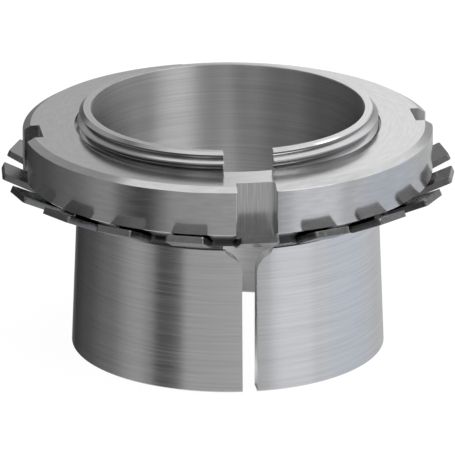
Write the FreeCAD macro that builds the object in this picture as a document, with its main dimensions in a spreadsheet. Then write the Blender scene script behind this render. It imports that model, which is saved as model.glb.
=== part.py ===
import FreeCAD, Part
import math
import os
import Sketcher

# Adapter sleeve for a 50 mm shaft: a slotted sleeve with a 1:12 taper outside and a thread on its
# small end, a lock nut with four spanner slots, and a toothed lock washer between nut and bearing.
# The axis is Z. The large end stands on z = 0, the threaded end points up, and the keyway and
# the slit lie on -Y. Lengths are in millimetres and angles in degrees.

# name, value, what it is
driving_sizes = [
    ("shaft_radius", 25.0, "bore of the sleeve"),
    ("bore_chamfer", 0.3, "edge break at both ends of the bore"),
    ("sleeve_length", 45.0, "from the large end to the threaded end"),
    ("thread_section", 18.0, "from the edge of the taper to the threaded end"),
    ("taper_ratio", 12.0, "length over which the taper's diameter grows by 1"),
    ("taper_step", 0.185, "small end of the taper stands this far outside the thread"),
    ("taper_edge", 0.2, "bevel on the small end of the taper"),
    ("large_end_chamfer", 0.2, "edge break on the large end"),
    ("sleeve_wall", 2.5, "from the bore to the crests of the sleeve's thread"),
    ("thread_pitch", 2.0, "one turn of the nut moves it this far"),
    ("thread_depth_share", 0.6134, "depth of the thread as a share of its pitch"),
    ("thread_lead", 1.1, "45 degree bevel on the threaded end"),
    ("relief_width", 2.3, "undercut between taper and thread"),
    ("relief_margin", 0.1, "undercut's floor lies this far below the thread's roots"),
    ("keyway_width", 9.0, "open slot for the washer's tab"),
    ("keyway_run", 2.16, "straight keyway goes this far below the washer"),
    ("slit_width", 2.7, "slit that lets the sleeve close on the shaft"),
    ("blend_angle", 64.0, "turn of each of the two arcs between keyway and slit"),
    ("blend_share", 0.37, "upper arc's share of the step between keyway and slit"),
    ("nut_wall", 10.0, "from the thread's crests to the outside of the nut"),
    ("nut_width", 11.0, "height of the nut along the axis"),
    ("end_stand", 3.14, "threaded end stands this far out of the nut"),
    ("nut_clearance", 0.05, "radial room between the nut's bore and the thread's crests"),
    ("nut_bore_chamfer", 0.5, "45 degree bevel at both ends of the nut's bore"),
    ("nut_bevel", 1.4, "radial width of the bevel on the nut's outer face"),
    ("nut_bevel_angle", 30.0, "slope of that bevel"),
    ("seat_inset", 0.4, "nut's seat ends this far inside the bend of the teeth"),
    ("seat_bevel_margin", 5.0, "bevel behind the seat is this much steeper than the teeth"),
    ("slot_width", 7.0, "spanner slot in the nut"),
    ("slot_depth", 3.2, "from the nut's outside to the slot's floor"),
    ("slot_count", 4, "spanner slots"),
    ("slot_edge", 0.4, "rounding of the slot's mouth"),
    ("washer_thickness", 1.2, "sheet of the washer"),
    ("washer_clearance", 0.115, "radial room between the washer and the taper's small end"),
    ("bend_inset", 3.5, "teeth start to bend this far inside the nut's outside"),
    ("tooth_reach", 3.9, "tips stand this far outside the nut"),
    ("tooth_count", 19, "teeth, one of them on -Y"),
    ("tooth_width", 7.0, "parallel sides of a tooth"),
    ("tooth_angle", 25.0, "teeth are bent up by this much"),
    ("bend_radius", 0.8, "inside of the bend"),
    ("tooth_corner", 0.9, "rounding of a tip's corners"),
    ("tooth_root", 0.6, "rounding between tooth and ring"),
    ("tab_side_gap", 0.5, "room between the tab and each side of the keyway"),
    ("tab_shaft_gap", 0.6, "room between the tab's end and the shaft"),
    ("tab_corner", 0.6, "rounding of the tab's corners"),
    ("overcut", 1.0, "cuts run this far past the faces that they open"),
]

# a length measured on a solid equals a size when they are this close
tight = 1e-3


class Size:
    """A number, together with the sheet's expression that gives it."""

    def __init__(self, value, text):
        self.value = value
        self.text = text

    def __add__(self, other):
        return Size(self.value + number(other), f"({self.text} + {wording(other)})")

    def __sub__(self, other):
        return Size(self.value - number(other), f"({self.text} - {wording(other)})")

    def __rsub__(self, other):
        return Size(number(other) - self.value, f"({wording(other)} - {self.text})")

    def __mul__(self, other):
        return Size(self.value * number(other), f"({self.text} * {wording(other)})")

    def __truediv__(self, other):
        return Size(self.value / number(other), f"({self.text} / {wording(other)})")

    def __neg__(self):
        return Size(-self.value, f"(-{self.text})")


def number(term):
    return term.value if isinstance(term, Size) else float(term)


def wording(term):
    return term.text if isinstance(term, Size) else str(term)


def sine(angle):
    return Size(math.sin(math.radians(angle.value)), f"sin({angle.text})")


def cosine(angle):
    return Size(math.cos(math.radians(angle.value)), f"cos({angle.text})")


def tangent(angle):
    return Size(math.tan(math.radians(angle.value)), f"tan({angle.text})")


def square_root(area):
    return Size(math.sqrt(area.value), f"sqrt({area.text})")


def make_sheet(doc):
    sheet = doc.addObject("Spreadsheet::Sheet", "Sizes")
    for row, (name, value, note) in enumerate(driving_sizes, 1):
        sheet.set(f"A{row}", name)
        sheet.set(f"B{row}", str(value))
        sheet.set(f"C{row}", note)
        sheet.setAlias(f"B{row}", name)
    doc.recompute()
    return {name: Size(float(sheet.get(name)), f"Sizes.{name}") for name, value, note in driving_sizes}


def origin_part(body, role):
    return next(part for part in body.Origin.OriginFeatures if part.Role == role)


def new_body(doc, label):
    body = doc.addObject("PartDesign::Body", label)
    body.Label = label
    return body


def pin_corner(sketch, side, end, axis, place):
    """Ties one coordinate of a corner to its size. The distance is always written as a positive one."""
    kind = "Distance" + axis
    if place.value == 0:
        line = -2 if axis == "X" else -1
        sketch.addConstraint(Sketcher.Constraint("PointOnObject", side, end, line))
        return
    ends = (-1, 1, side, end) if place.value > 0 else (side, end, -1, 1)
    index = sketch.addConstraint(Sketcher.Constraint(kind, *ends, abs(place.value)))
    distance = place if place.value > 0 else -place
    sketch.setExpression(f"Constraints[{index}]", distance.text)


def add_side(sketch, start, end, centre):
    """Adds a line, or the short arc about the centre, and says which of its ends is the start."""
    here = FreeCAD.Vector(start[0].value, start[1].value, 0)
    there = FreeCAD.Vector(end[0].value, end[1].value, 0)
    if centre is None:
        return sketch.addGeometry(Part.LineSegment(here, there)), 1
    middle = FreeCAD.Vector(centre[0].value, centre[1].value, 0)
    first, last = here - middle, there - middle
    turn = first.x * last.y - first.y * last.x
    if turn < 0:
        first, last = last, first
    angles = math.atan2(first.y, first.x), math.atan2(last.y, last.x)
    circle = Part.Circle(middle, FreeCAD.Vector(0, 0, 1), first.Length)
    return sketch.addGeometry(Part.ArcOfCircle(circle, *angles)), 1 if turn > 0 else 2


def draw(body, plane, name, corners, arcs=None, height=None):
    """Closed outline through the corners. arcs gives the centre and radius of the side after a corner."""
    arcs = arcs or {}
    sketch = body.newObject("Sketcher::SketchObject", name)
    sketch.AttachmentSupport = (origin_part(body, plane), [""])
    sketch.MapMode = "FlatFace"
    if height is not None:
        sketch.AttachmentOffset = FreeCAD.Placement(
            FreeCAD.Vector(0, 0, height.value), FreeCAD.Rotation()
        )
        sketch.setExpression("AttachmentOffset.Base.z", height.text)
    sides = []
    for index, corner in enumerate(corners):
        centre = arcs[index][0] if index in arcs else None
        sides.append(add_side(sketch, corner, corners[(index + 1) % len(corners)], centre))
    for index, (side, start) in enumerate(sides):
        before, before_start = sides[index - 1]
        sketch.addConstraint(Sketcher.Constraint("Coincident", before, 3 - before_start, side, start))
        for axis, place in zip("XY", corners[index]):
            pin_corner(sketch, side, start, axis, place)
        if index in arcs:
            radius = arcs[index][1]
            tie = sketch.addConstraint(Sketcher.Constraint("Radius", side, radius.value))
            sketch.setExpression(f"Constraints[{tie}]", radius.text)
    if sketch.solve() != 0:
        raise RuntimeError(f"the outline {name} has no solution")
    return sketch


def turn_solid(body, sketch, name):
    turned = body.newObject("PartDesign::Revolution", name)
    turned.Profile = sketch
    turned.ReferenceAxis = (sketch, ["V_Axis"])
    turned.Angle = 360
    return turned


def raise_pad(body, sketch, name, length, both_sides=False):
    pad = body.newObject("PartDesign::Pad", name)
    pad.Profile = sketch
    pad.SideType = "Symmetric" if both_sides else "One side"
    pad.setExpression("Length", length.text)
    return pad


def cut_pocket(body, sketch, name, length, backwards):
    pocket = body.newObject("PartDesign::Pocket", name)
    pocket.Profile = sketch
    pocket.setExpression("Length", length.text)
    pocket.Reversed = backwards
    return pocket


def repeat_round(body, feature, name, count):
    ring = body.newObject("PartDesign::PolarPattern", name)
    ring.Originals = [feature]
    ring.Axis = (origin_part(body, "Z_Axis"), [""])
    ring.Angle = 360
    ring.setExpression("Occurrences", count.text)
    body.Tip = ring
    return ring


def round_edges(body, base, name, radius, wanted):
    found = [f"Edge{i}" for i, edge in enumerate(base.Shape.Edges, 1) if wanted(edge)]
    fillet = body.newObject("PartDesign::Fillet", name)
    fillet.Base = (base, found)
    fillet.setExpression("Radius", radius.text)
    body.Tip = fillet
    return fillet, len(found)


def lost_volume(doc, body, before, name):
    """A cut that points away from the solid takes nothing off it, and gives no error."""
    doc.recompute()
    taken = before - body.Shape.Volume
    if taken <= 0:
        raise RuntimeError(f"{name} takes nothing off {body.Label}")
    return taken


def keyway_outline(s, derived):
    """Right half of the keyway, its two arcs down to the slit, then the same mirrored."""
    half_key = s["keyway_width"] / 2
    half_slit = s["slit_width"] / 2
    step = half_key - half_slit
    both_radii = step / (1 - cosine(s["blend_angle"]))
    over = both_radii * s["blend_share"]
    under = both_radii - over
    upper = derived["keyway_bottom"]
    middle = upper - over * sine(s["blend_angle"])
    lower = middle - under * sine(s["blend_angle"])
    top = s["sleeve_length"] + s["overcut"]
    right = [
        (half_key, top),
        (half_key, upper),
        (half_key - step * s["blend_share"], middle),
        (half_slit, lower),
        (half_slit, -s["overcut"]),
    ]
    left = [(-x, z) for x, z in reversed(right)]
    arcs = {
        1: ((half_key - over, upper), over),
        2: ((half_slit + under, lower), under),
        6: ((-(half_slit + under), lower), under),
        7: ((-(half_key - over), upper), over),
    }
    return right + left, arcs


def make_sleeve(doc, s, derived):
    body = new_body(doc, "adapter_sleeve")
    zero = Size(0.0, "0")
    bore = s["shaft_radius"]
    length = s["sleeve_length"]
    edge = derived["taper_top"]
    small = derived["taper_small"]
    slope = derived["taper_slope"]
    chamfer = s["large_end_chamfer"]
    relief = derived["thread_root"] - s["relief_margin"]
    relief_top = edge + s["relief_width"]
    crest = derived["thread_radius"]
    profile = [
        (bore + s["bore_chamfer"], zero),
        (small + edge * slope - chamfer, zero),
        (small + (edge - chamfer) * slope, chamfer),
        (small + s["taper_edge"] * slope, edge - s["taper_edge"]),
        (small - s["taper_edge"], edge),
        (relief, edge),
        (relief, relief_top),
        (crest, relief_top + (crest - relief)),
        (crest, length - s["thread_lead"]),
        (crest - s["thread_lead"], length),
        (bore + s["bore_chamfer"], length),
        (bore, length - s["bore_chamfer"]),
        (bore, s["bore_chamfer"]),
    ]
    turn_solid(body, draw(body, "XZ_Plane", "SleeveProfile", profile), "SleeveTurning")
    doc.recompute()
    whole = body.Shape.Volume
    corners, arcs = keyway_outline(s, derived)
    outline = draw(body, "XZ_Plane", "KeywayOutline", corners, arcs)
    reach = small + edge * slope + s["overcut"]
    cut_pocket(body, outline, "KeywayAndSlit", reach, True)
    lost_volume(doc, body, whole, "the keyway")
    return body


def make_nut(doc, s, derived):
    body = new_body(doc, "lock_nut")
    bottom = derived["nut_bottom"]
    top = bottom + s["nut_width"]
    outside = derived["nut_radius"]
    bore = derived["thread_radius"] + s["nut_clearance"]
    chamfer = s["nut_bore_chamfer"]
    seat = outside - s["bend_inset"] - s["seat_inset"]
    seat_rise = (outside - seat) * tangent(s["tooth_angle"] + s["seat_bevel_margin"])
    bevel_drop = s["nut_bevel"] * tangent(s["nut_bevel_angle"])
    profile = [
        (bore + chamfer, bottom),
        (seat, bottom),
        (outside, bottom + seat_rise),
        (outside, top - bevel_drop),
        (outside - s["nut_bevel"], top),
        (bore + chamfer, top),
        (bore, top - chamfer),
        (bore, bottom + chamfer),
    ]
    turn_solid(body, draw(body, "XZ_Plane", "NutProfile", profile), "NutTurning")
    doc.recompute()
    whole = body.Shape.Volume
    half = s["slot_width"] / 2
    floor = outside - s["slot_depth"]
    edge = s["slot_edge"]
    # the mouth is rounded where the slot's side leaves the nut's outside
    mouth = square_root(outside * outside - half * half)
    beyond = outside + s["overcut"]
    right = [
        (half, -floor),
        (half, -(mouth - edge)),
        (half + edge, -mouth),
        (half + edge, -beyond),
    ]
    left = [(-x, y) for x, y in reversed(right)]
    arcs = {
        1: ((half + edge, -(mouth - edge)), edge),
        5: ((-(half + edge), -(mouth - edge)), edge),
    }
    outline = draw(body, "XY_Plane", "SlotOutline", right + left, arcs, bottom)
    slot = cut_pocket(body, outline, "SpannerSlot", s["nut_width"], True)
    single = lost_volume(doc, body, whole, "the slot")
    repeat_round(body, slot, "SpannerSlots", s["slot_count"])
    every = lost_volume(doc, body, whole, "the ring of slots")
    print(f"slots: one takes {single:.1f}, all take {every:.1f} cubic millimetres")
    return body


def tooth_section(s, derived):
    """Section of one tooth through its middle, from inside the ring to the tip, on -Y."""
    low = derived["washer_bottom"]
    high = low + s["washer_thickness"]
    thick = s["washer_thickness"]
    inner = s["bend_radius"]
    outer = inner + thick
    angle = s["tooth_angle"]
    bend = derived["bend_start"]
    tip = derived["tip_radius"]
    pivot = high + inner
    under = (bend + outer * sine(angle), pivot - outer * cosine(angle))
    over = (bend + inner * sine(angle), pivot - inner * cosine(angle))
    tip_low = (tip, under[1] + (tip - under[0]) * tangent(angle))
    tip_high = (tip - thick * sine(angle), tip_low[1] + thick * cosine(angle))
    inside = derived["ring_middle"]
    path = [(inside, low), (bend, low), under, tip_low, tip_high, over, (bend, high), (inside, high)]
    arcs = {
        1: ((-bend, pivot), outer),
        5: ((-bend, pivot), inner),
    }
    return [(-r, z) for r, z in path], arcs


def make_washer(doc, s, derived):
    body = new_body(doc, "lock_washer")
    low = derived["washer_bottom"]
    thick = s["washer_thickness"]
    hole = derived["washer_hole"]
    ring_edge = derived["ring_edge"]
    ring = [(hole, low), (ring_edge, low), (ring_edge, low + thick), (hole, low + thick)]
    turn_solid(body, draw(body, "XZ_Plane", "RingProfile", ring), "Ring")
    half = s["keyway_width"] / 2 - s["tab_side_gap"]
    end = s["shaft_radius"] + s["tab_shaft_gap"]
    corner = s["tab_corner"]
    tab = [
        (half, -derived["ring_middle"]),
        (half, -(end + corner)),
        (half - corner, -end),
        (corner - half, -end),
        (-half, -(end + corner)),
        (-half, -derived["ring_middle"]),
    ]
    tab_arcs = {
        1: ((half - corner, -(end + corner)), corner),
        3: ((corner - half, -(end + corner)), corner),
    }
    raise_pad(body, draw(body, "XY_Plane", "TabOutline", tab, tab_arcs, low), "Tab", thick)
    section, arcs = tooth_section(s, derived)
    outline = draw(body, "YZ_Plane", "ToothSection", section, arcs)
    tooth = raise_pad(body, outline, "Tooth", s["tooth_width"], both_sides=True)
    doc.recompute()
    teeth = repeat_round(body, tooth, "Teeth", s["tooth_count"])
    doc.recompute()
    beyond_nut = (derived["nut_radius"].value + derived["tip_radius"].value) / 2

    def across_sheet(edge):
        return edge.Curve.TypeId == "Part::GeomLine" and abs(edge.Length - thick.value) < tight

    def radius_of(point):
        return math.hypot(point.x, point.y)

    def at_tip(edge):
        return across_sheet(edge) and radius_of(edge.CenterOfMass) > beyond_nut

    def at_root(edge):
        return across_sheet(edge) and abs(radius_of(edge.CenterOfMass) - ring_edge.value) < tight

    tips, tip_edges = round_edges(body, teeth, "TipCorners", s["tooth_corner"], at_tip)
    doc.recompute()
    roots, root_edges = round_edges(body, tips, "RootCorners", s["tooth_root"], at_root)
    doc.recompute()
    both = 2 * int(s["tooth_count"].value)
    if (tip_edges, root_edges) != (both, both):
        raise RuntimeError(f"rounded {tip_edges} tip and {root_edges} root edges, not {both} of each")
    return body


def derive(s):
    """Places that follow from the driving sizes and that more than one piece shares."""
    nut_bottom = s["sleeve_length"] - s["end_stand"] - s["nut_width"]
    washer_bottom = nut_bottom - s["washer_thickness"]
    thread_radius = s["shaft_radius"] + s["sleeve_wall"]
    nut_radius = thread_radius + s["nut_wall"]
    taper_small = thread_radius + s["taper_step"]
    washer_hole = taper_small + s["washer_clearance"]
    bend_start = nut_radius - s["bend_inset"]
    ring_edge = bend_start - s["tooth_root"]
    return {
        "thread_radius": thread_radius,
        "thread_root": thread_radius - s["thread_pitch"] * s["thread_depth_share"],
        "nut_radius": nut_radius,
        "nut_bottom": nut_bottom,
        "washer_bottom": washer_bottom,
        "keyway_bottom": washer_bottom - s["keyway_run"],
        "taper_top": s["sleeve_length"] - s["thread_section"],
        "taper_small": taper_small,
        "taper_slope": Size(1.0, "1") / s["taper_ratio"] / 2,
        "tip_radius": nut_radius + s["tooth_reach"],
        "washer_hole": washer_hole,
        "bend_start": bend_start,
        "ring_edge": ring_edge,
        "ring_middle": (washer_hole + ring_edge) / 2,
    }


def check_and_export(doc, bodies):
    failed = [o.Name for o in doc.Objects if {"Invalid", "Error"} & set(o.State)]
    if failed:
        raise RuntimeError(f"these objects failed: {failed}")
    for body in bodies:
        if body.Shape.isNull() or not body.Shape.isValid() or len(body.Shape.Solids) != 1:
            raise RuntimeError(f"{body.Label} is not one valid solid")
    os.makedirs("parts", exist_ok=True)
    for body in bodies:
        body.Shape.exportStep(f"parts/{body.Label}.step")
        box = body.Shape.BoundBox
        print(
            f"{body.Label}: volume {body.Shape.Volume:.1f},"
            f" X {box.XMin:.3f} to {box.XMax:.3f},"
            f" Y {box.YMin:.3f} to {box.YMax:.3f},"
            f" Z {box.ZMin:.3f} to {box.ZMax:.3f}"
        )


def main():
    doc = FreeCAD.newDocument("AdapterSleeve")
    s = make_sheet(doc)
    derived = derive(s)
    bodies = [maker(doc, s, derived) for maker in (make_sleeve, make_nut, make_washer)]
    doc.recompute()
    check_and_export(doc, bodies)


main()
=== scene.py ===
import bpy
import math
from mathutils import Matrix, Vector


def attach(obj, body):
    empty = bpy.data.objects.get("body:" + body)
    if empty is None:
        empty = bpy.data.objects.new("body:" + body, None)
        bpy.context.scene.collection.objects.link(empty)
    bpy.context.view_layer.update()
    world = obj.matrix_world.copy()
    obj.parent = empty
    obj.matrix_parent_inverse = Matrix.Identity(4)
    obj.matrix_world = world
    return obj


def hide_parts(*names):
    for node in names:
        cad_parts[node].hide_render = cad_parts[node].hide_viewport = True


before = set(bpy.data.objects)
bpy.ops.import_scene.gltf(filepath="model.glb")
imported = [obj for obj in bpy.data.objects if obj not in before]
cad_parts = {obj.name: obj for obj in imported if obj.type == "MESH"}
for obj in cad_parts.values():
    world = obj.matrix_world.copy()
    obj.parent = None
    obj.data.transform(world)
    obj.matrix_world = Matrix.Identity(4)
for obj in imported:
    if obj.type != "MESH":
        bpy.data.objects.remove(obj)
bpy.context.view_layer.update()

# Bearing adapter sleeve: sleeve, lock nut and toothed lock washer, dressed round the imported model.
# The dictionaries give sizes in millimetres and angles in degrees, and mm turns sizes into metres.
mm = 0.001
mergeGap = 0.001 * mm     # vertices closer than this become one
same = 0.01               # measures closer than this, in mm, and parts of normals, count as the same
near = 0.1                # mm, the same for what lies on a spun circle, and the least length of an edge
past = 1.0                # mm by which a cutter passes the ends of what it cuts
along = 0.9               # part of a face's normal past which it looks along an axis
breakAngle = 50           # edges that turn by more than this are broken
smoothAngle = 28          # and edges that turn by more than this stay sharp to the eye
sortFrom = (1, 2, 3)      # in metres: far off and lopsided, so no two faces of a prism lie as far from it
scene = bpy.context.scene
scene.cursor.location = sortFrom


# small helpers for edit mode

def selectOnly(piece):
    if bpy.context.object and bpy.context.object.mode != "OBJECT":
        bpy.ops.object.mode_set(mode="OBJECT")
    bpy.ops.object.select_all(action="DESELECT")
    piece.select_set(True)
    bpy.context.view_layer.objects.active = piece


def startPoint(name, place):
    # a plane merged to one vertex, ready to be extruded into an outline
    bpy.ops.object.select_all(action="DESELECT")
    bpy.ops.mesh.primitive_plane_add(size=mm, location=(0, 0, 0))
    outline = bpy.context.object
    outline.name = name
    bpy.ops.object.mode_set(mode="EDIT")
    bpy.ops.mesh.select_mode(type="VERT")
    bpy.ops.mesh.select_all(action="SELECT")
    bpy.ops.mesh.merge(type="CENTER")
    bpy.ops.transform.translate(value=place)
    return outline


def drawOutline(name, corners):
    # corners are points in metres; the last side closes the outline
    points = [Vector(corner) for corner in corners]
    outline = startPoint(name, points[0])
    for here, there in zip(points, points[1:] + points[:1]):
        bpy.ops.mesh.extrude_region_move(TRANSFORM_OT_translate={"value": there - here})
    bpy.ops.mesh.select_all(action="SELECT")
    bpy.ops.mesh.remove_doubles(threshold=mergeGap)
    bpy.ops.object.mode_set(mode="OBJECT")
    return outline


def applyModifier(piece, kind, **values):
    modifier = piece.modifiers.new(kind.title(), kind)
    for name, value in values.items():
        setattr(modifier, name, value)
    selectOnly(piece)
    bpy.ops.object.modifier_apply(modifier=modifier.name)


def facesOutwards(piece, capEnds=False):
    selectOnly(piece)
    bpy.ops.object.mode_set(mode="EDIT")
    bpy.ops.mesh.select_all(action="SELECT")
    bpy.ops.mesh.remove_doubles(threshold=mergeGap)
    if capEnds:
        bpy.ops.mesh.select_all(action="DESELECT")
        bpy.ops.mesh.select_mode(type="EDGE")
        bpy.ops.mesh.select_non_manifold()
        bpy.ops.mesh.fill_holes(sides=0)
        bpy.ops.mesh.select_mode(type="VERT")
    bpy.ops.mesh.select_all(action="SELECT")
    bpy.ops.mesh.normals_make_consistent(inside=False)
    bpy.ops.object.mode_set(mode="OBJECT")


def spinSolid(name, profile, steps):
    # profile is (radius, height) in mm, turned once round the axis
    piece = drawOutline(name, [(radius * mm, 0, height * mm) for radius, height in profile])
    applyModifier(piece, "SCREW", steps=steps, render_steps=steps, use_merge_vertices=True,
                  merge_threshold=mergeGap)
    facesOutwards(piece)
    return piece


def helixSolid(name, profile, pitch, turns, steps):
    # the same, but it climbs by one pitch a turn, right-handed, and both ends are closed
    piece = drawOutline(name, [(radius * mm, 0, height * mm) for radius, height in profile])
    applyModifier(piece, "SCREW", steps=steps, render_steps=steps, iterations=turns,
                  screw_offset=pitch * mm, use_merge_vertices=False)
    facesOutwards(piece, capEnds=True)
    return piece


def prism(name, corners, push):
    # corners are points in metres, filled and pushed along one direction
    piece = drawOutline(name, corners)
    selectOnly(piece)
    bpy.ops.object.mode_set(mode="EDIT")
    bpy.ops.mesh.select_all(action="SELECT")
    bpy.ops.mesh.edge_face_add()
    bpy.ops.mesh.extrude_region_move(TRANSFORM_OT_translate={"value": push})
    # extruding leaves the sides in another order each run, so they are sorted from the cursor
    bpy.ops.mesh.select_all(action="SELECT")
    bpy.ops.mesh.sort_elements(type="CURSOR_DISTANCE", elements={"EDGE", "FACE"})
    bpy.ops.object.mode_set(mode="OBJECT")
    facesOutwards(piece)
    return piece


def copiesRound(piece, count):
    # copies of the piece round the axis, each with its own mesh, joined into one
    copies = [piece]
    for index in range(1, count):
        selectOnly(piece)
        bpy.ops.object.duplicate()
        copy = bpy.context.object
        bpy.ops.object.mode_set(mode="EDIT")
        bpy.ops.mesh.select_all(action="SELECT")
        # with no window, this operator turns the other way
        bpy.ops.transform.rotate(value=-math.tau * index / count, orient_axis="Z",
                                 center_override=(0, 0, 0))
        bpy.ops.object.mode_set(mode="OBJECT")
        copies.append(copy)
    bpy.ops.object.select_all(action="DESELECT")
    for copy in copies:
        copy.select_set(True)
    bpy.context.view_layer.objects.active = piece
    bpy.ops.object.join()
    return piece


def combine(piece, tool, operation):
    # faces that the tool leaves keep the tool's own material
    applyModifier(piece, "BOOLEAN", object=tool, operation=operation, solver="EXACT",
                  material_mode="TRANSFER")
    selectOnly(tool)
    bpy.ops.object.delete()
    facesOutwards(piece)


def arcPoints(centre, radius, start, end, count):
    # points on an arc, angles in degrees, both ends included
    points = []
    for index in range(count + 1):
        angle = math.radians(start + (end - start) * index / count)
        points.append((centre[0] + radius * math.cos(angle), centre[1] + radius * math.sin(angle)))
    return points


def roundEdges(piece, label, wanted, radius, segments=4):
    # a bevel along the edges whose two ends, in mm, are wanted
    selectOnly(piece)
    bpy.ops.object.mode_set(mode="EDIT")
    bpy.ops.mesh.select_mode(type="EDGE")
    bpy.ops.mesh.select_all(action="DESELECT")
    bpy.ops.object.mode_set(mode="OBJECT")
    count = 0
    for edge in piece.data.edges:
        ends = [piece.data.vertices[index].co / mm for index in edge.vertices]
        if wanted(*ends):
            edge.select = True
            count += 1
    bpy.ops.object.mode_set(mode="EDIT")
    bpy.ops.mesh.bevel(offset=radius * mm, segments=segments, affect="EDGES")
    bpy.ops.object.mode_set(mode="OBJECT")
    print(label, count, "edges rounded")


def breakEdges(piece, width):
    # the small edge breaks that deburring leaves
    applyModifier(piece, "BEVEL", width=width * mm, segments=2, limit_method="ANGLE",
                  angle_limit=math.radians(breakAngle))


def giveMaterial(piece, material):
    # the material of a whole blank or cutter
    piece.data.materials.clear()
    piece.data.materials.append(material)
    return piece


def giveFacesMaterial(piece, material, wanted):
    # another material on the faces whose middle, in mm, and normal are wanted
    if material.name not in piece.data.materials:
        piece.data.materials.append(material)
    selectOnly(piece)
    bpy.ops.object.mode_set(mode="EDIT")
    bpy.ops.mesh.select_mode(type="FACE")
    bpy.ops.mesh.select_all(action="DESELECT")
    bpy.ops.object.mode_set(mode="OBJECT")
    for face in piece.data.polygons:
        face.select = wanted(face.center / mm, face.normal)
    piece.active_material_index = piece.data.materials.find(material.name)
    bpy.ops.object.mode_set(mode="EDIT")
    bpy.ops.object.material_slot_assign()
    bpy.ops.mesh.select_mode(type="VERT")
    bpy.ops.object.mode_set(mode="OBJECT")


def smooth(piece):
    selectOnly(piece)
    bpy.ops.object.shade_smooth_by_angle(angle=math.radians(smoothAngle))
    applyModifier(piece, "WEIGHTED_NORMAL", keep_sharp=True, weight=60)


# sleeve

sleeve = {
    "bore": 25.0,
    "length": 45.0,
    "largeEnd": 28.81,        # radius at the foot of the taper
    "smallEnd": 27.685,
    "taperTop": 27.0,
    "endBreak": 0.2,          # edge breaks at both ends of the taper
    "boreBreak": 0.12,
    "undercut": 26.17,
    "undercutTop": 29.3,
    "threadLead": 1.1,
    "keyway": 9.0,
    "keywayBottom": 27.5,
    "slit": 2.7,
    "blendTurn": 64.0,        # turn of each arc between keyway and slit
    "blendShare": 0.37,       # upper arc's share of the step
    "blendSteps": (8, 10),    # sides that stand for each arc
    "cutterReach": 32.0,
    "edge": 0.08,             # width of the broken edges
    "steps": 180,
}

thread = {
    "major": 27.5,
    "pitch": 2.0,
    "depth": 1.2269,
    "rootFlat": 0.34,
    "rootShare": 0.5,         # part of the flat that its corners leave
    "rootCorner": 0.05,       # how deep the corners are
    "flank": 30.0,
    "crestBreak": 0.04,
    "crestAtZero": 43.65,     # height of a crest's middle at azimuth 0
    "cutterReach": 0.1,       # how far the cutter passes the crests
    "start": 8,               # the cutter starts this many pitches lower
    "turns": 9,
    "clearance": 0.05,
    "nutMinor": 26.42,
    "nutRootShare": 0.8,
    "nutCutterReach": 0.12,
    "nutStart": 7,
    "nutTurns": 7,
}


def keywayOutline():
    # right half, from above the sleeve down to below it, as (x, z), and its mirror image
    halfKey = sleeve["keyway"] / 2
    halfSlit = sleeve["slit"] / 2
    degrees = sleeve["blendTurn"]
    turn = math.radians(degrees)
    bothRadii = (halfKey - halfSlit) / (1 - math.cos(turn))
    over = bothRadii * sleeve["blendShare"]
    under = bothRadii - over
    middle = sleeve["keywayBottom"] - over * math.sin(turn)
    lower = middle - under * math.sin(turn)
    upperSteps, lowerSteps = sleeve["blendSteps"]
    upperArc = arcPoints((halfKey - over, sleeve["keywayBottom"]), over, 0, -degrees, upperSteps)
    lowerArc = arcPoints((halfSlit + under, lower), under, 180 - degrees, 180, lowerSteps)
    right = [(halfKey, sleeve["length"] + past)] + upperArc + lowerArc[1:] + [(halfSlit, -past)]
    return right + [(-x, z) for x, z in reversed(right)]


def threadGroove():
    # section of the groove in the sleeve, round the height 0
    half = thread["rootFlat"] / 2
    slope = math.tan(math.radians(thread["flank"]))
    root = thread["major"] - thread["depth"]
    shoulder = thread["major"] - thread["crestBreak"]
    mouth = half + (shoulder - root) * slope
    upper = [
        (root, half * thread["rootShare"]),
        (root + thread["rootCorner"], half),
        (shoulder, mouth),
        (thread["major"] + thread["cutterReach"], mouth + thread["cutterReach"]),
    ]
    return upper + [(radius, -height) for radius, height in reversed(upper)]


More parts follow.
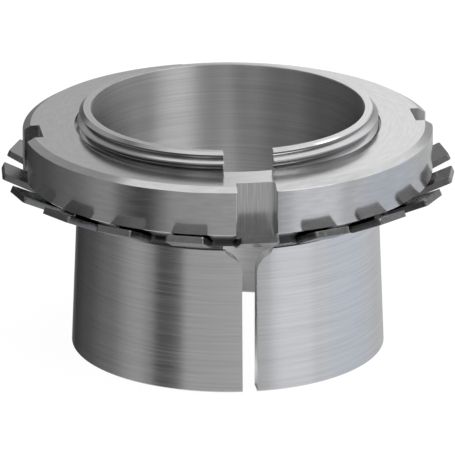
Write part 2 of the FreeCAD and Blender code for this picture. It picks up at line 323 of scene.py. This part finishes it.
def makeSleeve(outsideSteel, boreSteel, sawnSteel, threadSteel, keyShadedSteel):
    slope = (sleeve["largeEnd"] - sleeve["smallEnd"]) / sleeve["taperTop"]
    profile = [
        (sleeve["bore"] + sleeve["boreBreak"], 0),
        (sleeve["largeEnd"] - sleeve["endBreak"], 0),
        (sleeve["largeEnd"] - sleeve["endBreak"] * slope, sleeve["endBreak"]),
        (sleeve["smallEnd"] + sleeve["endBreak"] * slope, sleeve["taperTop"] - sleeve["endBreak"]),
        (sleeve["smallEnd"] - sleeve["endBreak"], sleeve["taperTop"]),
        (sleeve["undercut"], sleeve["taperTop"]),
        (sleeve["undercut"], sleeve["undercutTop"]),
        (thread["major"], sleeve["undercutTop"] + thread["major"] - sleeve["undercut"]),
        (thread["major"], sleeve["length"] - sleeve["threadLead"]),
        (thread["major"] - sleeve["threadLead"], sleeve["length"]),
        (sleeve["bore"] + sleeve["boreBreak"], sleeve["length"]),
        (sleeve["bore"], sleeve["length"] - sleeve["boreBreak"]),
        (sleeve["bore"], sleeve["boreBreak"]),
    ]
    body = giveMaterial(spinSolid("sleeveBody", profile, sleeve["steps"]), outsideSteel)

    def inBore(middle, normal):
        return middle.xy.length < sleeve["bore"] + sleeve["boreBreak"] and abs(normal.z) < along

    giveFacesMaterial(body, boreSteel, inBore)
    reach = sleeve["cutterReach"] * mm
    corners = [(x * mm, -reach, z * mm) for x, z in keywayOutline()]
    cutter = giveMaterial(prism("keywayCutter", corners, (0, reach, 0)), sawnSteel)

    def inKeyway(middle, normal):
        return abs(normal.x) > along and abs(middle.x) > sleeve["keyway"] / 2 - same

    # the keyway's sides take the copy of the milled steel that has painted shade
    giveFacesMaterial(cutter, keyShadedSteel, inKeyway)
    combine(body, cutter, "DIFFERENCE")
    breakEdges(body, sleeve["edge"])
    groove = thread["crestAtZero"] + thread["pitch"] / 2 - thread["start"] * thread["pitch"]
    section = [(radius, height + groove) for radius, height in threadGroove()]
    turns = thread["turns"]
    cutter = helixSolid("threadCutter", section, thread["pitch"], turns, sleeve["steps"])
    combine(body, giveMaterial(cutter, threadSteel), "DIFFERENCE")
    smooth(body)
    print("sleeve:", len(body.data.polygons), "faces")
    return body


# nut

nut = {
    "outside": 37.5,
    "bottom": 30.86,
    "width": 11.0,
    "boreBevel": 28.05,       # radius where the 45 degree bevels of the bore start
    "seat": 33.6,             # the seat ends here
    "seatSlope": 30.0,
    "bevel": 1.4,
    "bevelSlope": 30.0,
    "slot": 7.0,
    "slotDepth": 3.2,
    "slotMouth": 0.3,
    "slots": 4,
    "cutterReach": 40.0,
    "mouthTurn": 0.995,       # the mouths' faces look less than this along an axis
    "edge": 0.08,
    "steps": 160,
}


def threadRidge():
    # what the nut's thread lets through, round the height 0
    slope = math.tan(math.radians(thread["flank"]))
    outer = thread["major"] + thread["clearance"]
    root = outer - thread["crestBreak"]
    inner = thread["nutMinor"] - thread["nutCutterReach"]
    gap = thread["clearance"] / math.cos(math.radians(thread["flank"]))
    crest = (thread["pitch"] - thread["rootFlat"]) / 2 - thread["depth"] * slope
    upper = [
        (outer, crest * thread["nutRootShare"]),
        (root, crest + gap),
        (inner, crest + gap + (root - inner) * slope),
    ]
    return upper + [(radius, -height) for radius, height in reversed(upper)]


def makeNut(turnedSteel, milledSteel):
    top = nut["bottom"] + nut["width"]
    sink = nut["boreBevel"] - thread["nutMinor"]
    seatRise = (nut["outside"] - nut["seat"]) * math.tan(math.radians(nut["seatSlope"]))
    bevelDrop = nut["bevel"] * math.tan(math.radians(nut["bevelSlope"]))
    profile = [
        (nut["boreBevel"], nut["bottom"]),
        (nut["seat"], nut["bottom"]),
        (nut["outside"], nut["bottom"] + seatRise),
        (nut["outside"], top - bevelDrop),
        (nut["outside"] - nut["bevel"], top),
        (nut["boreBevel"], top),
        (thread["nutMinor"], top - sink),
        (thread["nutMinor"], nut["bottom"] + sink),
    ]
    body = giveMaterial(spinSolid("nutBody", profile, nut["steps"]), turnedSteel)
    half = nut["slot"] / 2
    floor = nut["outside"] - nut["slotDepth"]
    reach = nut["cutterReach"]
    corners = [(-half, -floor), (half, -floor), (half, -reach), (-half, -reach)]
    corners = [(x * mm, y * mm, (nut["bottom"] - past) * mm) for x, y in corners]
    cutter = prism("slotCutter", corners, (0, 0, (nut["width"] + 2 * past) * mm))
    combine(body, copiesRound(giveMaterial(cutter, milledSteel), nut["slots"]), "DIFFERENCE")

    def atMouth(one, other):
        # upright edges where the slots' sides leave the nut's outside
        upright = abs(one.x - other.x) + abs(one.y - other.y) < same and abs(one.z - other.z) > near
        across = min(abs(abs(one.x) - half), abs(abs(one.y) - half))
        return upright and across < same and one.xy.length > nut["outside"] - near

    roundEdges(body, "slot mouths:", atMouth, nut["slotMouth"])
    breakEdges(body, nut["edge"])

    def inMouth(middle, normal):
        # the narrow faces that now break the slots' upright edges, whole in height
        across = max(abs(normal.x), abs(normal.y))
        outer = middle.xy.length > nut["outside"] - nut["slotMouth"] - near
        return abs(normal.z) < same and across < nut["mouthTurn"] and outer

    giveFacesMaterial(body, turnedSteel, inMouth)
    ridge = thread["crestAtZero"] - thread["nutStart"] * thread["pitch"]
    section = [(radius, height + ridge) for radius, height in threadRidge()]
    turns = thread["nutTurns"]
    cutter = helixSolid("nutThreadCutter", section, thread["pitch"], turns, nut["steps"])
    combine(body, giveMaterial(cutter, turnedSteel), "DIFFERENCE")
    smooth(body)
    print("nut:", len(body.data.polygons), "faces")
    return body


# washer

washer = {
    "hole": 27.8,
    "ringEdge": 33.4,
    "bottom": 29.66,
    "thickness": 1.2,
    "teeth": 19,
    "toothWidth": 7.0,
    "tip": 41.4,
    "bendStart": 34.0,
    "bendAngle": 25.0,
    "bendRadius": 0.8,        # inside of the bend
    "bendSteps": 5,
    "tipCorner": 0.5,
    "rootCorner": 0.6,
    "tabWidth": 8.0,
    "tabEnd": 25.6,
    "tabCorner": 0.6,
    "edge": 0.07,
    "steps": 152,
}


def toothSection():
    # side view of a tooth on -Y, bent up by the angle, as (y, z)
    low, thick = washer["bottom"], washer["thickness"]
    pivot = (washer["bendStart"], low + thick + washer["bendRadius"])
    turn = math.radians(washer["bendAngle"])
    start, end = -90, -90 + washer["bendAngle"]
    under = arcPoints(pivot, washer["bendRadius"] + thick, start, end, washer["bendSteps"])
    over = arcPoints(pivot, washer["bendRadius"], end, start, washer["bendSteps"])
    rise = (washer["tip"] - under[-1][0]) * math.tan(turn)
    tipLow = (washer["tip"], under[-1][1] + rise)
    tipHigh = (washer["tip"] - thick * math.sin(turn), tipLow[1] + thick * math.cos(turn))
    inside = (washer["hole"] + washer["ringEdge"]) / 2
    path = [(inside, low)] + under + [tipLow, tipHigh] + over + [(inside, low + thick)]
    return [(-radius, height) for radius, height in path]


def makeWasher(sheetSteel):
    low, thick = washer["bottom"], washer["thickness"]
    high = low + thick
    hole, edge = washer["hole"], washer["ringEdge"]
    profile = [(hole, low), (edge, low), (edge, high), (hole, high)]
    body = giveMaterial(spinSolid("washerBody", profile, washer["steps"]), sheetSteel)
    half = washer["toothWidth"] / 2
    corners = [(-half * mm, y * mm, z * mm) for y, z in toothSection()]
    tooth = giveMaterial(prism("tooth", corners, (washer["toothWidth"] * mm, 0, 0)), sheetSteel)

    def atTip(one, other):
        # the two short edges through the sheet at the tooth's outer end
        through = abs((one - other).length - thick) < same and abs(one.x - other.x) < same
        return through and min(abs(one.y), abs(other.y)) > washer["tip"] - thick

    roundEdges(tooth, "tooth tip:", atTip, washer["tipCorner"], segments=5)
    combine(body, copiesRound(tooth, washer["teeth"]), "UNION")
    half = washer["tabWidth"] / 2
    start, end = -(hole + edge) / 2, -washer["tabEnd"]
    corners = [(-half, start), (half, start), (half, end), (-half, end)]
    corners = [(x * mm, y * mm, low * mm) for x, y in corners]
    tab = giveMaterial(prism("tab", corners, (0, 0, thick * mm)), sheetSteel)
    combine(body, tab, "UNION")

    def upright(one, other):
        return (one.xy - other.xy).length < same and abs(abs(one.z - other.z) - thick) < same

    def atRoot(one, other):
        return upright(one, other) and abs(one.xy.length - edge) < near

    def atTab(one, other):
        return upright(one, other) and one.xy.length < washer["tabEnd"] + washer["tabCorner"]

    roundEdges(body, "tooth roots:", atRoot, washer["rootCorner"])
    roundEdges(body, "tab corners:", atTab, washer["tabCorner"])
    breakEdges(body, washer["edge"])
    smooth(body)
    print("washer:", len(body.data.polygons), "faces")
    return body


# materials

def opaque(level):
    return (level, level, level, 1)


def feed(tree, socket, value):
    # another node's output is linked in, and anything else is set on the socket
    if isinstance(value, bpy.types.NodeSocket):
        tree.links.new(value, socket)
    else:
        socket.default_value = value


def addNode(tree, kind, inputs=None, **values):
    node = tree.nodes.new("ShaderNode" + kind)
    for name, value in values.items():
        setattr(node, name, value)
    for name, value in (inputs or {}).items():
        feed(tree, node.inputs[name], value)
    return node


def mathNode(tree, operation, *values):
    node = addNode(tree, "Math", operation=operation)
    for socket, value in zip(node.inputs, values):
        feed(tree, socket, value)
    return node.outputs[0]


def noise(tree, place, scale, detail):
    inputs = {"Vector": place, "Scale": scale, "Detail": detail}
    return addNode(tree, "TexNoise", inputs).outputs["Fac"]


def makeGroup(name, inputs, outputs):
    group = bpy.data.node_groups.new(name, "ShaderNodeTree")
    for title, kind, value in inputs:
        socket = group.interface.new_socket(title, in_out="INPUT", socket_type=kind)
        if value is not None:
            socket.default_value = value
    for title in outputs:
        group.interface.new_socket(title, in_out="OUTPUT", socket_type="NodeSocketFloat")
    given = group.nodes.new("NodeGroupInput").outputs
    result = group.nodes.new("NodeGroupOutput").inputs
    return group, given, result


turning = {
    "radiusShare": 1.37,      # lines a metre of radius for each line a metre of height
    "broadShare": 0.35,       # streaks for each fine line
    "fineDetail": 3.0,
    "broadDetail": 4.0,
    "crossways": 0.25,        # anisotropic rotation that spreads the gloss across the lines
    "noiseLow": 0.3,          # the noise hardly leaves this span
    "noiseHigh": 0.7,
}


def makeTurningMarks():
    # fine lines round the Z axis, on cylinders, cones and flat faces alike
    group, given, result = makeGroup(
        "turningMarks",
        [
            ("Vector", "NodeSocketVector", None),
            ("Lines", "NodeSocketFloat", 9000.0),
            ("Run", "NodeSocketFloat", 60.0),
        ],
        ["Fine", "Streaks", "Radius"],
    )
    split = addNode(group, "SeparateXYZ", {"Vector": given["Vector"]}).outputs
    flat = addNode(group, "CombineXYZ", {"X": split["X"], "Y": split["Y"]}).outputs[0]
    radius = addNode(group, "VectorMath", {0: flat}, operation="LENGTH").outputs["Value"]
    across = mathNode(group, "MULTIPLY_ADD", radius, turning["radiusShare"], split["Z"])
    alongX = mathNode(group, "MULTIPLY", split["X"], given["Run"])
    alongY = mathNode(group, "MULTIPLY", split["Y"], given["Run"])
    lines = mathNode(group, "MULTIPLY", across, given["Lines"])
    broad = mathNode(group, "MULTIPLY", lines, turning["broadShare"])
    finePlace = addNode(group, "CombineXYZ", {"X": alongX, "Y": alongY, "Z": lines}).outputs[0]
    broadPlace = addNode(group, "CombineXYZ", {"X": alongX, "Y": alongY, "Z": broad}).outputs[0]
    group.links.new(noise(group, finePlace, 1.0, turning["fineDetail"]), result["Fine"])
    group.links.new(noise(group, broadPlace, 1.0, turning["broadDetail"]), result["Streaks"])
    group.links.new(radius, result["Radius"])
    return group


def newMaterial(name, kind="BsdfPrincipled"):
    material = bpy.data.materials.new(name)
    material.use_nodes = True
    tree = material.node_tree
    tree.nodes.clear()
    shader = addNode(tree, kind)
    addNode(tree, "OutputMaterial", {"Surface": shader.outputs[0]})
    return material, tree, shader


def ownPlace(tree):
    return addNode(tree, "TexCoord").outputs["Object"]


def greyRamp(tree, factor, dark, light):
    ramp = addNode(tree, "ValToRGB", {"Fac": factor})
    ends = zip(ramp.color_ramp.elements, (turning["noiseLow"], turning["noiseHigh"]), (dark, light))
    for element, place, tone in ends:
        element.position = place
        element.color = (*tone, 1)
    return ramp.outputs[0]


def spread(tree, factor, low, high, start=turning["noiseLow"], end=turning["noiseHigh"]):
    # the factor's span from start to end becomes the span from low to high
    span = {"Value": factor, "From Min": start, "From Max": end, "To Min": low, "To Max": high}
    return addNode(tree, "MapRange", span).outputs[0]


bumpRise = 0.01           # mm that a bump of full strength stands for

# the steels: colour, how rough it is, how far the marks spread the gloss across themselves,
# how many marks a metre, how often one starts and ends in a metre, and how strong the bump is
outside = {
    "dark": (0.575, 0.575, 0.58),
    "light": (0.655, 0.655, 0.66),
    "rough": (0.16, 0.25),
    "anisotropy": 0.75,
    "lines": 8500.0,
    "run": 60.0,
    "bump": 0.03,
}

nutFace = {
    "dark": (0.545, 0.545, 0.547),
    "light": (0.61, 0.61, 0.612),
    "rough": (0.13, 0.19),
    "anisotropy": 0.3,
    "lines": 4500.0,
    "run": 300.0,
    "bump": 0.015,
}

bored = {
    "dark": (0.46, 0.46, 0.462),
    "light": (0.58, 0.58, 0.582),
    "rough": (0.37, 0.45),
    "anisotropy": 1.0,
    "lines": 7000.0,
    "run": 40.0,
    "bump": 0.03,
}

cutThread = {
    "dark": (0.56, 0.56, 0.565),
    "light": (0.62, 0.62, 0.625),
    "rough": (0.2, 0.26),
    "anisotropy": 0.3,
    "lines": 12000.0,
    "run": 60.0,
    "bump": 0.015,
    "rootPaintedShade": 0.55,        # painted shade: colour left at the thread's root, where the groove lies in shade
    "shadeFrom": 26.3,
    "shadeTo": 26.9,
}

milled = {
    "dark": (0.54, 0.54, 0.542),
    "light": (0.66, 0.66, 0.662),
    "rough": (0.16, 0.24),
    "anisotropy": 0.4,
    "lines": 4200.0,
    "run": 130.0,
    "bump": 0.05,
    "detail": 4.0,
    "keywayPaintedShade": 0.45,         # painted shade: colour left on the keyway's sides
}

sawn = {
    "dark": (0.72, 0.72, 0.723),
    "light": (0.82, 0.82, 0.823),
    "rough": (0.42, 0.5),
    "anisotropy": 0.2,
    "lines": 2600.0,
    "run": 400.0,
    "bump": 0.04,
    "detail": 4.0,
}


def finishSteel(tree, shader, steel, fine, colour):
    rough = spread(tree, fine, *steel["rough"])
    heights = {"Height": fine, "Strength": steel["bump"], "Distance": bumpRise * mm}
    bump = addNode(tree, "Bump", heights)
    tangent = addNode(tree, "Tangent", direction_type="RADIAL", axis="Z")
    shader.inputs["Metallic"].default_value = 1.0
    shader.inputs["Anisotropic"].default_value = steel["anisotropy"]
    tree.links.new(colour, shader.inputs["Base Color"])
    tree.links.new(rough, shader.inputs["Roughness"])
    tree.links.new(bump.outputs[0], shader.inputs["Normal"])
    tree.links.new(tangent.outputs[0], shader.inputs["Tangent"])


def shadeInwards(tree, radius, colour, left, start, end):
    # painted shade: the colour falls to the part left towards the axis, radii in mm
    depth = spread(tree, radius, left, 1.0, start * mm, end * mm)
    shaded = addNode(tree, "VectorMath", {0: colour}, operation="SCALE")
    tree.links.new(depth, shaded.inputs["Scale"])
    return shaded.outputs[0]


def makeTurnedSteel(name, marks, steel):
    material, tree, shader = newMaterial(name)
    pattern = addNode(tree, "Group", node_tree=marks)
    feed(tree, pattern.inputs["Vector"], ownPlace(tree))
    feed(tree, pattern.inputs["Lines"], steel["lines"])
    feed(tree, pattern.inputs["Run"], steel["run"])
    colour = greyRamp(tree, pattern.outputs["Streaks"], steel["dark"], steel["light"])
    # painted shade towards the thread's root, for the steels that have one
    if "rootPaintedShade" in steel:
        colour = shadeInwards(tree, pattern.outputs["Radius"], colour, steel["rootPaintedShade"],
                              steel["shadeFrom"], steel["shadeTo"])
    finishSteel(tree, shader, steel, pattern.outputs["Fine"], colour)
    shader.inputs["Anisotropic Rotation"].default_value = turning["crossways"]
    return material


def makeMilledSteel(name, steel, shade=1.0):
    # upright marks, as a slotting cutter leaves them
    material, tree, shader = newMaterial(name)
    scale = (steel["lines"], steel["lines"], steel["run"])
    place = addNode(tree, "Mapping", {"Vector": ownPlace(tree), "Scale": scale})
    fine = noise(tree, place.outputs[0], 1.0, steel["detail"])
    # a shade below 1 darkens the colour, which paints shade onto the faces
    dark, light = [[shade * part for part in steel[tone]] for tone in ("dark", "light")]
    finishSteel(tree, shader, steel, fine, greyRamp(tree, fine, dark, light))
    return material


sheet = {
    "dark": (0.18, 0.18, 0.183),
    "light": (0.22, 0.22, 0.224),
    "rough": (0.2, 0.28),
    "grain": 900.0,
    "detail": 5.0,
    "gapPaintedShade": 0.25,         # painted shade: colour left on the ring's edge and the teeth's roots between them
    "shadeFrom": 33.6,
    "shadeTo": 34.8,
}


def makeSheetSteel(marks):
    material, tree, shader = newMaterial("darkSheetSteel")
    place = ownPlace(tree)
    grain = noise(tree, place, sheet["grain"], sheet["detail"])
    pattern = addNode(tree, "Group", node_tree=marks)
    feed(tree, pattern.inputs["Vector"], place)
    colour = greyRamp(tree, grain, sheet["dark"], sheet["light"])
    # painted shade between the teeth, falling towards the axis
    colour = shadeInwards(tree, pattern.outputs["Radius"], colour, sheet["gapPaintedShade"],
                          sheet["shadeFrom"], sheet["shadeTo"])
    rough = spread(tree, grain, *sheet["rough"])
    shader.inputs["Metallic"].default_value = 1.0
    tree.links.new(colour, shader.inputs["Base Color"])
    tree.links.new(rough, shader.inputs["Roughness"])
    return material


# stage, light and camera

camera = {
    "target": (0.0, 0.0, 21.56),
    "distance": 1205.1,
    "turn": 8.1,              # to the left of the slit
    "height": 19.244,
    "lens": 518.8,
    "sensor": 36.0,
    "shift": -0.0006,
    "farthest": 20000.0,
}


def makeCamera():
    turn, height = math.radians(camera["turn"]), math.radians(camera["height"])
    level = math.cos(height)
    away = Vector((-math.sin(turn) * level, -math.cos(turn) * level, math.sin(height)))
    place = Vector(camera["target"]) * mm + away * camera["distance"] * mm
    bpy.ops.object.camera_add(location=place, rotation=(-away).to_track_quat("-Z", "Y").to_euler())
    view = bpy.context.object
    view.data.lens = camera["lens"]
    view.data.sensor_width = camera["sensor"]
    view.data.shift_x = camera["shift"]
    view.data.clip_end = camera["farthest"] * mm
    scene.camera = view


paleFloor = {
    "size": 8000.0,
    "grey": 0.1,
    "glow": 0.95,             # its own light, which leaves a faint shadow
}


def makeFloor():
    bpy.ops.object.select_all(action="DESELECT")
    bpy.ops.mesh.primitive_plane_add(size=paleFloor["size"] * mm, location=(0, 0, 0))
    floor = bpy.context.object
    floor.name = "floor"
    floor.visible_glossy = False    # the steel mirrors the studio's panels in its place
    material, tree, shader = newMaterial("paleFloor")
    shader.inputs["Base Color"].default_value = opaque(paleFloor["grey"])
    shader.inputs["Roughness"].default_value = 1.0
    shader.inputs["Specular IOR Level"].default_value = 0.0
    shader.inputs["Emission Color"].default_value = opaque(1)
    shader.inputs["Emission Strength"].default_value = paleFloor["glow"]
    floor.data.materials.append(material)


# the studio round the object: rows of grey and pale panels, given by the angle to the right of
# where the camera looks from, and how bright they are there.
# nutPanels lie lowest, where the nut's side looks, then skirtPanels up to the horizon,
# then middlePanels, upperPanels, highPanels and capPanels
nutPanels = [
    (-180, 0.30),
    (-155, 0.05),
    (-130, 0.10),
    (-95, 0.19),
    (-78, 0.30),
    (-70, 0.30),
    (-60, 0.075),
    (-47, 0.08),
    (-32, 0.37),
    (10, 0.43),
    (30, 0.46),
    (42, 0.84),
    (62, 0.86),
    (71, 0.58),
    (80, 0.66),
    (110, 0.66),
    (150, 0.58),
    (180, 0.50),
]

skirtPanels = [
    (-180, 0.30),
    (-150, 0.04),
    (-125, 0.07),
    (-100, 0.16),
    (-68, 0.50),
    (-60, 0.46),
    (-51, 0.06),
    (-37, 0.06),
    (-29, 0.49),
    (8, 0.54),
    (24, 0.66),
    (37, 0.92),
    (66, 0.90),
    (96, 0.91),
    (120, 0.88),
    (150, 0.74),
    (180, 0.55),
]

middlePanels = [
    (-180, 0.26),
    (-165, 0.22),
    (-150, 0.10),
    (-116, 0.11),
    (-85, 0.08),
    (-47, 0.10),
    (-36, 0.22),
    (-25, 0.60),
    (-14, 0.24),
    (-6, 0.16),
    (9, 0.32),
    (17, 0.20),
    (26, 0.22),
    (38, 1.80),
    (66, 1.80),
    (83, 0.75),
    (94, 1.20),
    (105, 1.10),
    (116, 0.68),
    (139, 0.55),
    (165, 0.45),
    (180, 0.32),
]

upperPanels = [
    (-180, 0.45),
    (-150, 0.40),
    (-116, 0.38),
    (-90, 0.38),
    (-50, 0.52),
    (-40, 0.30),
    (-30, 0.48),
    (-20, 0.56),
    (0, 0.50),
    (30, 0.42),
    (40, 0.45),
    (50, 0.32),
    (60, 0.28),
    (80, 0.38),
    (90, 0.58),
    (112, 1.00),
    (146, 1.10),
    (158, 0.50),
    (180, 0.50),
]

highPanels = [
    (-180, 0.45),
    (-150, 0.40),
    (-120, 0.34),
    (-95, 0.06),
    (-47, 0.07),
    (-36, 0.40),
    (-25, 1.80),
    (-14, 0.40),
    (-6, 0.08),
    (9, 0.90),
    (17, 0.12),
    (26, 0.16),
    (36, 5.40),
    (64, 5.20),
    (80, 0.70),
    (87, 0.70),
    (96, 3.40),
    (106, 3.20),
    (118, 1.20),
    (146, 1.10),
    (158, 0.50),
    (180, 0.50),
]

capPanels = [
    (-180, 1.05),
    (-162, 1.05),
    (-150, 0.40),
    (-125, 0.40),
    (-110, 0.60),
    (-30, 0.60),
    (-15, 0.40),
    (60, 0.40),
    (80, 1.05),
    (180, 1.05),
]

# heights between which each row takes over from the row below: 1 is overhead, 0 the horizon
panelRows = (
    (skirtPanels, -0.31, -0.27),
    (middlePanels, 0.0, 0.06),
    (upperPanels, 0.22, 0.27),
    (highPanels, 0.54, 0.60),
    (capPanels, 0.72, 0.76),
)

# how much of the cold tint the low panels have
coldShares = [
    (-180, 0.0),
    (22, 0.0),
    (38, 0.4),
    (62, 0.4),
    (74, 0.2),
    (88, 1.0),
    (112, 1.0),
    (136, 0.3),
    (150, 0.0),
]

studio = {
    "overhead": 1.05,
    "overheadHeights": (0.84, 0.88),
    "below": 1.0,
    "belowHeights": (-0.42, -0.52),
    "tint": (0.915, 0.968, 1.06),      # coldest, low on the right
    "tintHeights": (0.06, 0.0),
    "cardAway": 200.0,                 # behind the object, seen from the camera
    "cardSize": (150.0, 70.0),
    "cardFoot": 85.0,
    "cardLevels": ((0.0, 0.55), (0.42, 0.60), (0.59, 1.10), (1.0, 1.10)),
    "boreFloor": 24.8,                 # radius of the glowing floor inside the bore
    "boreFloorRise": 0.1,
    # the glowing floor's levels from its left to its right: painted shadow of the sleeve's wall on the
    # left, then painted bright bands that the bore mirrors
    "boreLevels": (
        (0.0, 0.0),
        (0.22, 0.02),
        (0.42, 0.12),
        (0.455, 0.50),
        (0.48, 2.30),
        (0.505, 1.80),
        (0.53, 0.50),
        (0.62, 0.60),
        (0.8, 2.40),
        (1.0, 3.40),
    ),
}


def levelRamp(tree, place, levels, interpolation="LINEAR"):
    # greys through pairs of a place between 0 and 1 and a level
    ramp = addNode(tree, "ValToRGB", {"Fac": place})
    ramp.color_ramp.interpolation = interpolation
    elements = ramp.color_ramp.elements
    elements.remove(elements[1])
    for index, (position, level) in enumerate(levels):
        element = elements[0] if index == 0 else elements.new(position)
        element.position = position
        element.color = opaque(level)
    return ramp.outputs[0]


def panelRamp(tree, share, panels):
    levels = [((angle + 180) / 360, level) for angle, level in panels]
    return levelRamp(tree, share, levels, "EASE")


def blendColours(tree, factor, first, second, kind="MIX"):
    # the numbers are the Mix node's factor and colour sockets, whose names aren't unique
    mix = addNode(tree, "Mix", data_type="RGBA", blend_type=kind)
    for index, value in ((0, factor), (6, first), (7, second)):
        feed(tree, mix.inputs[index], value)
    return mix.outputs[2]


def takeOver(tree, height, start, end):
    # rises softly from 0 at the start to 1 at the end
    span = {"Value": height, "From Min": start, "From Max": end}
    return addNode(tree, "MapRange", span, interpolation_type="SMOOTHSTEP").outputs[0]


def makeWorld():
    world = bpy.data.worlds.new("studio")
    scene.world = world
    world.use_nodes = True
    tree = world.node_tree
    tree.nodes.clear()
    sky = addNode(tree, "TexCoord").outputs["Generated"]
    direction = addNode(tree, "SeparateXYZ", {"Vector": sky}).outputs
    height = direction["Z"]
    towards = mathNode(tree, "MULTIPLY", direction["Y"], -1.0)
    azimuth = mathNode(tree, "ARCTAN2", direction["X"], towards)
    # straight behind the object, seen from the camera, is 0 and again 1, and towards it is a half
    share = mathNode(tree, "MULTIPLY_ADD", azimuth, 1 / math.tau, 0.5 + camera["turn"] / 360)
    share = mathNode(tree, "FRACT", share)
    colour = panelRamp(tree, share, nutPanels)
    for panels, start, end in panelRows:
        row = panelRamp(tree, share, panels)
        colour = blendColours(tree, takeOver(tree, height, start, end), colour, row)
    for name in ("overhead", "below"):
        reach = takeOver(tree, height, *studio[name + "Heights"])
        colour = blendColours(tree, reach, colour, opaque(studio[name]))
    low = takeOver(tree, height, *studio["tintHeights"])
    cold = mathNode(tree, "MULTIPLY", panelRamp(tree, share, coldShares), low)
    colour = blendColours(tree, cold, colour, (*studio["tint"], 1), "MULTIPLY")
    light = addNode(tree, "Background", {"Color": colour, "Strength": 1.0}).outputs[0]
    white = addNode(tree, "Background", {"Color": opaque(1), "Strength": 1.0}).outputs[0]
    seen = addNode(tree, "LightPath").outputs["Is Camera Ray"]
    mixed = addNode(tree, "MixShader", {0: seen, 1: light, 2: white}).outputs[0]
    addNode(tree, "OutputWorld", {"Surface": mixed})


def glow(piece, name, levels):
    # light of its own, in levels from the left to the right of the piece, for the gloss alone;
    # the piece's own mesh is 1 wide, with its middle at 0
    piece.name = name
    piece.visible_camera = False
    piece.visible_diffuse = False
    piece.visible_shadow = False
    material, tree, light = newMaterial(name, "Emission")
    across = addNode(tree, "SeparateXYZ", {"Vector": ownPlace(tree)}).outputs["X"]
    place = mathNode(tree, "ADD", across, 0.5)
    feed(tree, light.inputs["Color"], levelRamp(tree, place, levels))
    piece.data.materials.append(material)


def makeCards():
    # a half grey, half white card behind the object, and a glowing floor inside the bore
    turn = math.radians(camera["turn"])
    width, tall = studio["cardSize"]
    away = studio["cardAway"] * mm
    middle = (studio["cardFoot"] + tall / 2) * mm
    bpy.ops.object.select_all(action="DESELECT")
    bpy.ops.mesh.primitive_plane_add(
        size=1.0,
        location=(math.sin(turn) * away, math.cos(turn) * away, middle),
        rotation=(math.pi / 2, 0, -turn),
    )
    card = bpy.context.object
    card.scale = (width * mm, tall * mm, 1)
    glow(card, "card", studio["cardLevels"])
    bpy.ops.object.select_all(action="DESELECT")
    bpy.ops.mesh.primitive_circle_add(
        vertices=64,
        radius=0.5,
        fill_type="NGON",
        location=(0, 0, studio["boreFloorRise"] * mm),
        rotation=(0, 0, -turn),
    )
    disc = bpy.context.object
    across = 2 * studio["boreFloor"] * mm
    disc.scale = (across, across, 1)
    glow(disc, "boreFloor", studio["boreLevels"])


def dress(piece, body, node):
    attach(piece, body)
    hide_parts(node)


scene.view_settings.view_transform = "Standard"
makeCamera()
makeFloor()
makeWorld()
makeCards()
print("stage ready")

turningMarks = makeTurningMarks()
sleeveSteels = (
    makeTurnedSteel("turnedSleeve", turningMarks, outside),
    makeTurnedSteel("boredSteel", turningMarks, bored),
    makeMilledSteel("sawnSteel", sawn),
    makeTurnedSteel("threadSteel", turningMarks, cutThread),
    # a copy of the milled steel, darkened as painted shade for the keyway's sides
    makeMilledSteel("keywayShadedSteel", milled, shade=milled["keywayPaintedShade"]),
)
nutSteels = (
    makeTurnedSteel("turnedNut", turningMarks, nutFace),
    makeMilledSteel("milledSteel", milled),
)
dress(makeSleeve(*sleeveSteels), "sleeve", "adapter_sleeve")
dress(makeNut(*nutSteels), "nut", "lock_nut")
dress(makeWasher(makeSheetSteel(turningMarks)), "washer", "lock_washer")
print("pieces ready")
